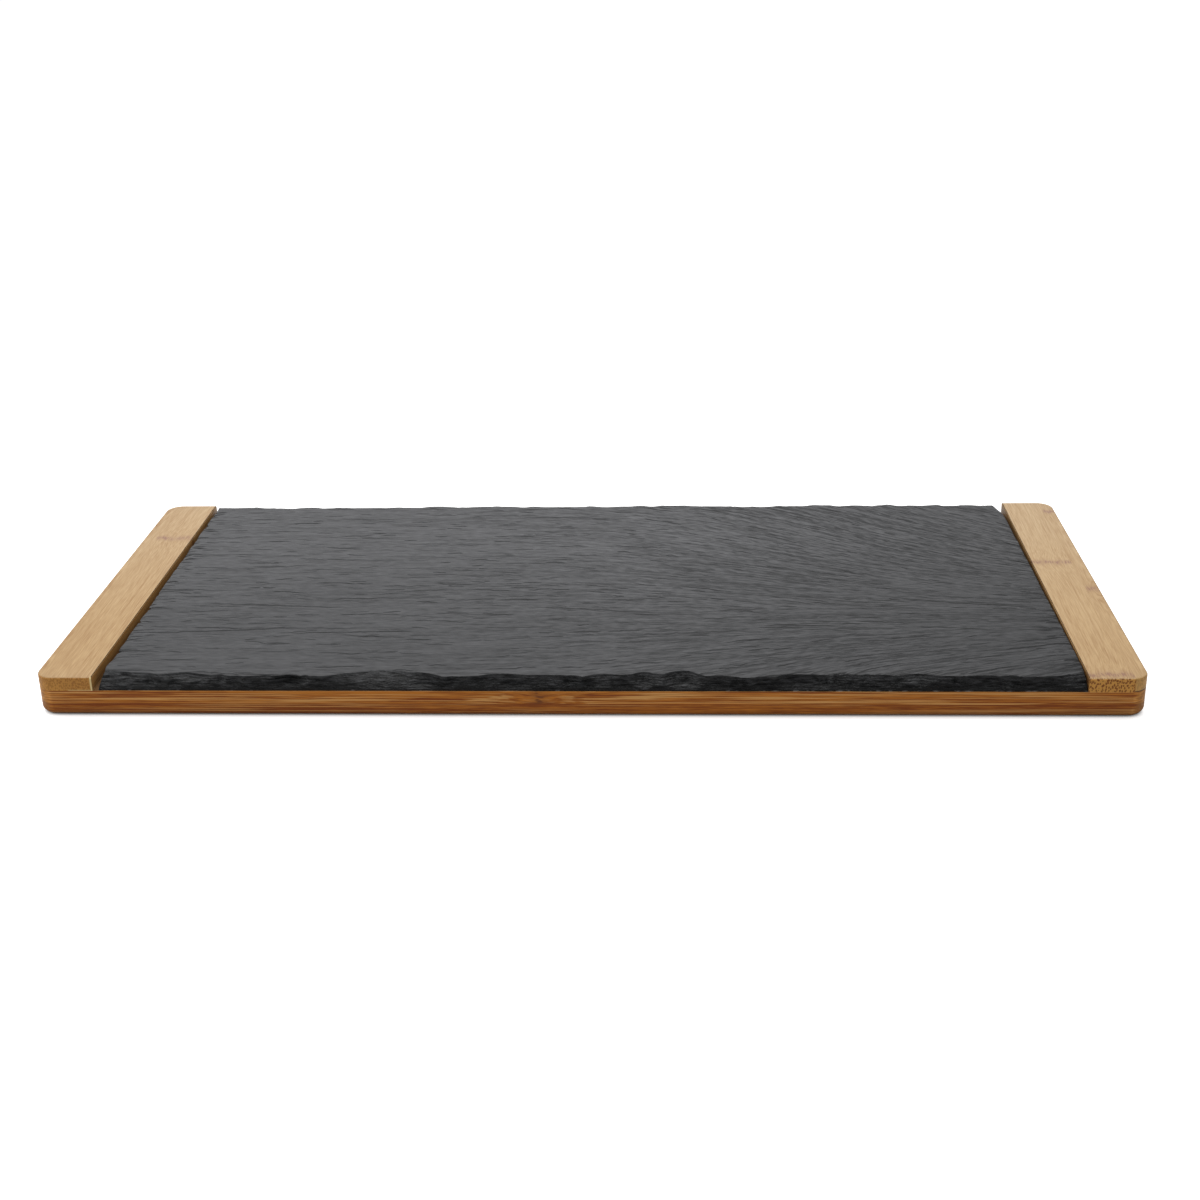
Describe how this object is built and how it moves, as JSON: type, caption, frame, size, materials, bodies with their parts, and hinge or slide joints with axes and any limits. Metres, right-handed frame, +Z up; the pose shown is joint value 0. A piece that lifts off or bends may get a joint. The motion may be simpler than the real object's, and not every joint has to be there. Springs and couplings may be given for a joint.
{
  "type": "slate serving board",
  "caption": "Rectangular slate serving plate lying loose on a thin laminated bamboo tray with raised handle strips across both ends.",
  "frame": {"origin": "centre of the tray's underside, on the surface that the board stands on", "axes": "+X along the board's length to the right handle strip, -Y towards the front, +Z up"},
  "size_m": [0.452, 0.205, 0.0174],
  "materials": {
    "slate": "riven natural cleft face with hand-dressed edges, oiled matt",
    "handle_bamboo": "sanded vertical-grain bamboo slats, clear satin oil",
    "base_bamboo": "sanded caramelised bamboo slats, clear satin oil"
  },
  "bodies": {
    "tray": {"left_handle_outer_slat": "handle_bamboo", "left_handle_inner_slat": "handle_bamboo", "right_handle_inner_slat": "handle_bamboo", "right_handle_outer_slat": "handle_bamboo", "upper_base_slat_01": "base_bamboo", "upper_base_slat_02": "base_bamboo", "upper_base_slat_03": "base_bamboo", "upper_base_slat_04": "base_bamboo", "upper_base_slat_05": "base_bamboo", "upper_base_slat_06": "base_bamboo", "upper_base_slat_07": "base_bamboo", "upper_base_slat_08": "base_bamboo", "upper_base_slat_09": "base_bamboo", "upper_base_slat_10": "base_bamboo", "lower_base_slat_01": "base_bamboo", "lower_base_slat_02": "base_bamboo", "lower_base_slat_03": "base_bamboo", "lower_base_slat_04": "base_bamboo", "lower_base_slat_05": "base_bamboo", "lower_base_slat_06": "base_bamboo", "lower_base_slat_07": "base_bamboo", "lower_base_slat_08": "base_bamboo", "lower_base_slat_09": "base_bamboo", "lower_base_slat_10": "base_bamboo", "lower_base_slat_11": "base_bamboo"},
    "slate": {"slate_plate": "slate"}
  },
  "joints": [
    {"name": "slate_lift", "type": "slide", "parent": "tray", "child": "slate", "axis": [0, 0, 1], "range_m": [0, 0.06]}
  ]
}
